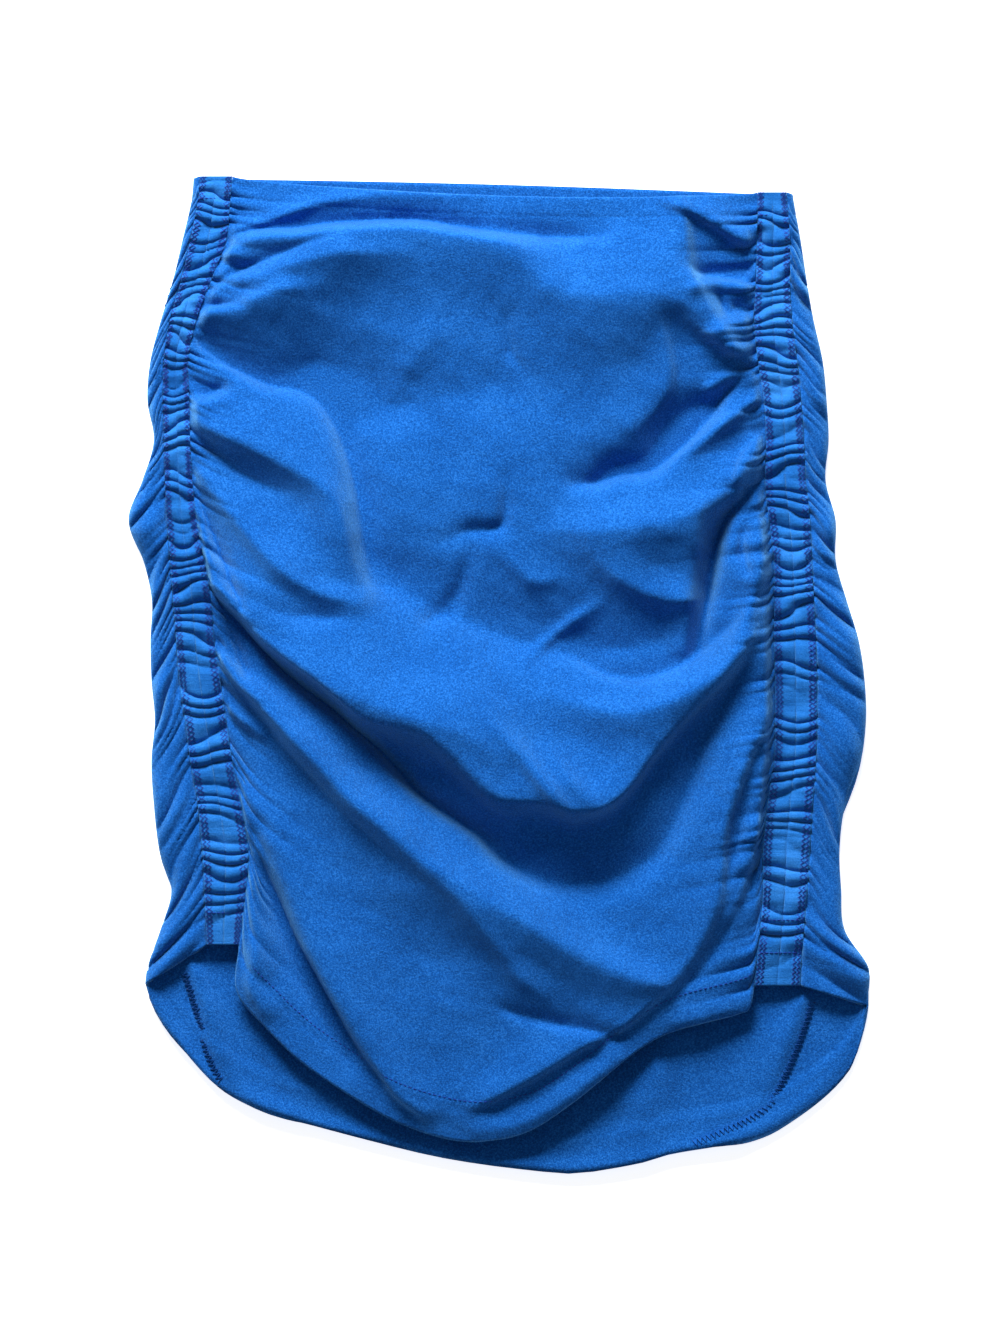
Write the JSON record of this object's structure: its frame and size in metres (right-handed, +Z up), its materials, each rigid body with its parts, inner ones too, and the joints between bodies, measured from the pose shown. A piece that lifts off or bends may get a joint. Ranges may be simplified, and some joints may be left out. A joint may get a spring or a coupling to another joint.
{
  "type": "ruched mini skirt",
  "caption": "Short stretch-jersey skirt laid flat, drawn up by gathered elastic bands down both sides, with swags across the front and a curved hem.",
  "frame": {"origin": "on the surface that the skirt lies on, below the middle of its outline", "axes": "+Y from the hem to the waist, +X to the right when seen from above, +Z up from the surface"},
  "size_m": [0.3709, 0.4989, 0.0262],
  "materials": {
    "brushed_jersey": "brushed, soft nap",
    "gathered_band": "stretched smooth, fine gathers"
  },
  "bodies": {
    "root": {"front_panel": "brushed_jersey", "back_panel": "brushed_jersey", "seam_band_left": "gathered_band", "seam_band_right": "gathered_band"}
  },
  "joints": []
}
